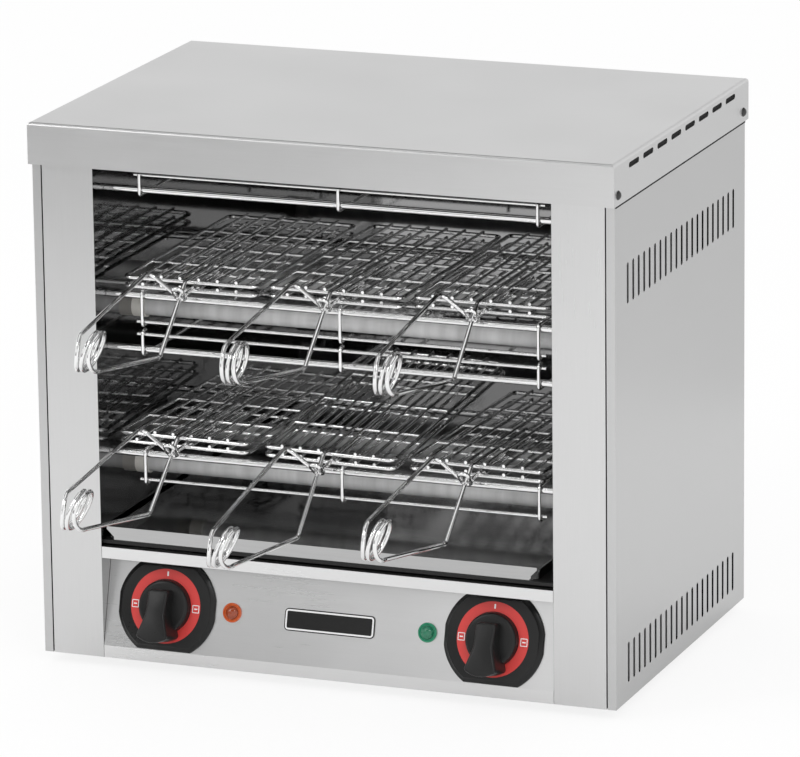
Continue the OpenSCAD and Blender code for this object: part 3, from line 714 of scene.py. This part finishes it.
def dialPlate():
    part = bmesh.new()
    bmesh.ops.create_circle(part, cap_ends=True, radius=dial["plateR"], segments=dial["plateSides"])
    for side in (Vector((1, 0, 0)), Vector((-1, 0, 0)), Vector((0, 1, 0)), Vector((0, -1, 0))):
        reach = dial["plateHalf"][0] if side.x else dial["plateHalf"][1]
        whole = part.verts[:] + part.edges[:] + part.faces[:]
        bmesh.ops.bisect_plane(part, geom=whole, plane_co=reach * side, plane_no=side, clear_outer=True)
    bmesh.ops.remove_doubles(part, verts=part.verts, dist=dial["shortEdge"])
    stepUp(part, thicken(part, part.faces[:], dial["plateWall"]), dial["plateSteps"])
    return part


def knobGrip():
    part = bmesh.new()
    corners = [part.verts.new((*corner[:2], 0.0)) for corner in grip["corners"]]
    part.faces.new(corners)
    for vert, corner in zip(corners, grip["corners"]):
        roundVerts(part, [vert], corner[2])
    top = thicken(part, part.faces[:], grip["height"])
    tilt = Matrix.Identity(4)
    tilt[2][1] = grip["slope"]  # the thumb end stands higher than the pointer end
    bmesh.ops.transform(part, matrix=tilt, verts=list({vert for face in top for vert in face.verts}))
    rim = list({edge for face in top for edge in face.edges})
    bmesh.ops.bevel(
        part,
        geom=rim,
        offset=grip["edge"],
        affect="EDGES",
        segments=grip["edgeSteps"],
        profile=0.5,
        material=-1,
    )
    return part


for label, side in (("left", -1), ("right", 1)):
    place = onPanel(side * dial["x"], dial["z"])
    seat = shifted(place, 0, 0, dial["plateT"] + dial["air"])
    low = dial["plateT"] - dial["sunk"]
    high = dial["plateT"] + dial["proud"]
    plate = {
        "name": label + "_plate_form",
        "finish": "blackPlastic",
        "slot": "black_plastic",
        "body": "casing",
        "stands": (label + "_knob_plate",),
    }
    addPiece(plate, [(dialPlate(), place)])

    ring = {
        "name": label + "_dial_ring",
        "finish": "redPrint",
        "slot": "black_plastic",
        "body": "casing",
    }
    outer, inner = dial["ring"]
    section = ((outer, low), (outer, high), (inner, high), (inner, low))
    addPiece(ring, [(turned(section, dial["ringSides"], True), place)])

    marks = {
        "name": label + "_dial_marks",
        "finish": "whitePrint",
        "slot": "black_plastic",
        "body": "casing",
        "proud": 0.1,
        "bar": (0.6, 1.7),
        "barRound": 0.3,
        "box": (2.7, 2.9),
        "boxRound": 0.5,
        "line": 0.55,
        "dash": (1.3, 0.45),
        "dashRound": 0.2,
    }
    top = high + marks["proud"]
    bar = slab(marks["bar"], marks["barRound"], low, top)
    prints = [(bar, shifted(place, 0, dial["markR"], 0))]
    for way in (-1, 1):
        spot = shifted(place, way * dial["markR"], 0, 0)
        prints.append((hoop(marks["box"], marks["boxRound"], marks["line"], low, top), spot))
        prints.append((slab(marks["dash"], marks["dashRound"], low, top), spot))
    addPiece(marks, prints)

    knob = {
        "name": label + "_knob_form",
        "finish": "blackPlastic",
        "slot": "black_plastic",
        "body": label + "_dial",
        "stands": (label + "_knob",),
    }
    addPiece(knob, [(turned(grip["skirt"], dial["ringSides"]), seat), (knobGrip(), seat)])

lamp = {
    "x": 76.5,
    "sides": 48,
    "bezel": ((7.25, 0), (7.25, 1.1), (6.75, 1.5), (6.05, 1.5), (5.65, 1.0), (4.9, 1.0), (4.9, 0)),
    "core": ((0, 0), (4.8, 0), (4.65, 1.9), (3.75, 2.9), (2.45, 3.6), (1.05, 3.95), (0, 4.0)),
}
for label, side, colour in (("heating", -1, "amber"), ("power", 1, "green")):
    place = onPanel(side * lamp["x"], dial["z"])
    bezel = {
        "name": label + "_lamp_form",
        "finish": colour + "Lens",
        "slot": colour + "_lens",
        "body": "casing",
        "stands": (label + "_lamp",),
    }
    addPiece(bezel, [(turned(lamp["bezel"], lamp["sides"], True), place)])
    core = {
        "name": label + "_lamp_core",
        "finish": colour + "Core",
        "slot": colour + "_lens",
        "body": "casing",
    }
    addPiece(core, [(turned(lamp["core"], lamp["sides"]), place)])

badge = {
    "x": 0.2,
    "z": 41.0,
    "half": (35.3, 8.3),
    "corner": 3.2,
    "plaqueT": 0.6,
    "rimIn": 0.8,
    "rimW": 1.2,
    "rimSunk": 0.1,
    "rimTop": 0.85,
}
place = onPanel(badge["x"], badge["z"])
plaque = {"name": "badge_plaque", "finish": "blackPlastic", "slot": "black_plastic", "body": "casing"}
addPiece(plaque, [(slab(badge["half"], badge["corner"], 0.0, badge["plaqueT"]), place)])
rim = {"name": "badge_rim", "finish": "whitePrint", "slot": "black_plastic", "body": "casing"}
rimHalf = [half - badge["rimIn"] for half in badge["half"]]
rimCorner = badge["corner"] - badge["rimIn"]
rimLow = badge["plaqueT"] - badge["rimSunk"]
addPiece(rim, [(hoop(rimHalf, rimCorner, badge["rimW"], rimLow, badge["rimTop"]), place)])

# painted shadow under the cover's side skirts and painted shade in the lid's vent slots
print("stage: seams and vents")
# painted shadow: thin black strips just under the lower edge of the cover's side skirts stand in for
# the shadow line there
skirtShadow = {
    "name": "cover_skirt_shadow",
    "finish": "rubberAndPaintedShade",
    "slot": "black_rubber",
    "body": "casing",
    "x": 224.1,
    "half": 0.4,
    "round": 0.1,
    "y": (6.0, 299.0),
    "z": (369.4, 370.9),
}
lines = []
for side in (-1, 1):
    reach = (skirtShadow["y"][1] - skirtShadow["y"][0]) / 2
    strip = slab((skirtShadow["half"], reach), skirtShadow["round"], 0.0, skirtShadow["z"][1] - skirtShadow["z"][0])
    middle = inFrame(side * skirtShadow["x"], sum(skirtShadow["y"]) / 2, skirtShadow["z"][0])
    lines.append((strip, Matrix.Translation(middle)))
addPiece(skirtShadow, lines)

# painted shade: black plates set in each lid vent slot stand in for the shade behind the slots
ventPaintedShade = {
    "name": "vent_slot_shadow",
    "finish": "rubberAndPaintedShade",
    "slot": "black_rubber",
    "body": "casing",
    "count": 8,
    "pitch": 31.2,
    "middleY": 152.5,
    "z": 395.0,
    "half": (10.9, 1.9),
    "round": 1.85,
    "x": (223.82, 224.3),
}
slotShadeList = []
for side in (-1, 1):
    facing = Matrix.Rotation(side * math.pi / 2, 4, "Z") @ Matrix.Rotation(math.pi / 2, 4, "X")
    for i in range(ventPaintedShade["count"]):
        y = ventPaintedShade["middleY"] + (i - (ventPaintedShade["count"] - 1) / 2) * ventPaintedShade["pitch"]
        slotShadePiece = slab(ventPaintedShade["half"], ventPaintedShade["round"], 0.0, ventPaintedShade["x"][1] - ventPaintedShade["x"][0])
        spot = inFrame(side * ventPaintedShade["x"][0], y, ventPaintedShade["z"])
        slotShadeList.append((slotShadePiece, Matrix.Translation(spot) @ facing))
addPiece(ventPaintedShade, slotShadeList)

print("stage: camera and light")
shot = {
    "name": "photoCamera",
    "sensor": 36.0,
    "lens": 287.213,
    "reach": 100.0,
    "angles": (21.171, 14.861, -0.7),  # round the object, up, and roll, in degrees
    "place": (1656.472, -4115.556, 1405.226),
}
camera = bpy.data.cameras.new(shot["name"])
camera.sensor_fit = "HORIZONTAL"
camera.sensor_width = shot["sensor"]
camera.lens = shot["lens"]
camera.clip_end = shot["reach"]
cameraObj = bpy.data.objects.new(shot["name"], camera)
scene.collection.objects.link(cameraObj)
az, el, roll = (math.radians(angle) for angle in shot["angles"])
back = Vector((math.sin(az) * math.cos(el), -math.cos(az) * math.cos(el), math.sin(el)))
right = Vector((0, 0, 1)).cross(back).normalized()
up = back.cross(right)
turnedRight = math.cos(roll) * right + math.sin(roll) * up
turnedUp = math.cos(roll) * up - math.sin(roll) * right
place = Matrix((turnedRight, turnedUp, back)).transposed().to_4x4()
place.translation = inFrame(*shot["place"])
cameraObj.matrix_world = place
scene.camera = cameraObj

sky = {
    "name": "studio",
    "acrossX": (1.0, 0.95),
    "band": ((0.0, 1.0), (0.46, 1.0), (0.57, 0.08), (0.80, 0.08), (0.92, 1.0)),
}
world = bpy.data.worlds.new(sky["name"])
scene.world = world
world.use_nodes = True
tree = world.node_tree
tree.nodes.clear()
coords = tree.nodes.new("ShaderNodeTexCoord")
split = tree.nodes.new("ShaderNodeSeparateXYZ")
tree.links.new(coords.outputs["Generated"], split.inputs[0])
slope = tree.nodes.new("ShaderNodeMapRange")
tree.links.new(split.outputs["X"], slope.inputs["Value"])
slope.inputs["From Min"].default_value = -1.0
slope.inputs["From Max"].default_value = 1.0
slope.inputs["To Min"].default_value = sky["acrossX"][0]
slope.inputs["To Max"].default_value = sky["acrossX"][1]
paths = tree.nodes.new("ShaderNodeLightPath")
band = tree.nodes.new("ShaderNodeValToRGB")
tree.links.new(split.outputs["Z"], band.inputs["Fac"])
for stop in sky["band"][1:-1]:
    band.color_ramp.elements.new(stop[0])
for element, (position, tone) in zip(band.color_ramp.elements, sky["band"]):
    element.position = position
    element.color = grey(tone)
mirrored = mathNode(tree, "MULTIPLY", band.outputs["Color"], slope.outputs["Result"])
lit = tree.nodes.new("ShaderNodeMix")
lit.data_type = "FLOAT"
tree.links.new(paths.outputs["Is Glossy Ray"], lit.inputs["Factor"])
tree.links.new(slope.outputs["Result"], lit.inputs["A"])
tree.links.new(mirrored, lit.inputs["B"])
shade = tree.nodes.new("ShaderNodeMix")
shade.data_type = "FLOAT"
tree.links.new(paths.outputs["Is Camera Ray"], shade.inputs["Factor"])
tree.links.new(lit.outputs["Result"], shade.inputs["A"])
shade.inputs["B"].default_value = 1.0
background = tree.nodes.new("ShaderNodeBackground")
background.inputs["Color"].default_value = grey(1.0)
tree.links.new(shade.outputs["Result"], background.inputs["Strength"])
output = tree.nodes.new("ShaderNodeOutputWorld")
tree.links.new(background.outputs[0], output.inputs["Surface"])

ground = {"half": 12.0, "white": 0.85}
bm = bmesh.new()
bmesh.ops.create_grid(bm, x_segments=1, y_segments=1, size=ground["half"])
floorMesh = bpy.data.meshes.new("floor")
bm.to_mesh(floorMesh)
bm.free()
floorMesh.materials.append(materials["paleFloor"])
floor = bpy.data.objects.new("floor", floorMesh)
scene.collection.objects.link(floor)
tree = materials["paleFloor"].node_tree
shader = next(n for n in tree.nodes if n.type == "BSDF_PRINCIPLED")
paths = tree.nodes.new("ShaderNodeLightPath")
white = tree.nodes.new("ShaderNodeEmission")
blank = tree.nodes.new("ShaderNodeMixShader")
share = mathNode(tree, "MULTIPLY", paths.outputs["Is Camera Ray"], ground["white"])
tree.links.new(share, blank.inputs["Fac"])
tree.links.new(shader.outputs[0], blank.inputs[1])
tree.links.new(white.outputs[0], blank.inputs[2])
surface = next(n for n in tree.nodes if n.type == "OUTPUT_MATERIAL")
tree.links.new(blank.outputs[0], surface.inputs["Surface"])

cards = (
    {
        "name": "frontFlag",
        "finish": "darkCard",
        "centre": (-1.75, -1.4, 0.2),
        "across": (1.4, 0, 0),
        "along": (0, 0, 0.2),
    },
    {
        "name": "sideFlag",
        "finish": "paleCard",
        "centre": (0.95, 1.55, 0.02),
        "across": (0.6, 0, 0),
        "along": (0, 0.85, 0),
    },
)
for card in cards:
    bm = bmesh.new()
    corners = []
    for sx, sy in ((-1, -1), (1, -1), (1, 1), (-1, 1)):
        spot = Vector(card["centre"]) + sx * Vector(card["across"]) + sy * Vector(card["along"])
        corners.append(bm.verts.new(spot))
    bm.faces.new(corners)
    cardMesh = bpy.data.meshes.new(card["name"])
    bm.to_mesh(cardMesh)
    bm.free()
    cardMesh.materials.append(materials[card["finish"]])
    cardObj = bpy.data.objects.new(card["name"], cardMesh)
    cardObj.visible_camera = False
    cardObj.visible_shadow = False
    cardObj.visible_diffuse = False
    scene.collection.objects.link(cardObj)

lightAim = Vector((0, 0, 0.2))
softboxes = (
    {"name": "softboxLeft", "place": (-1.7, -1.9, 1.9), "size": (0.8, 0.5), "power": 10.0},
    {"name": "softboxRight", "place": (1.3, -1.7, 1.9), "size": (0.8, 0.5), "power": 10.0},
    {"name": "stripFront", "place": (-0.9, -1.5, 2.2), "size": (2.4, 0.12), "power": 4.0},
)
for box in softboxes:
    light = bpy.data.lights.new(box["name"], "AREA")
    light.shape = "RECTANGLE"
    light.size, light.size_y = box["size"]
    light.energy = box["power"]
    lightObj = bpy.data.objects.new(box["name"], light)
    lightObj.location = box["place"]
    aim = lightAim - Vector(box["place"])
    lightObj.rotation_euler = aim.to_track_quat("-Z", "Y").to_euler()
    scene.collection.objects.link(lightObj)

scene.view_settings.view_transform = "Standard"
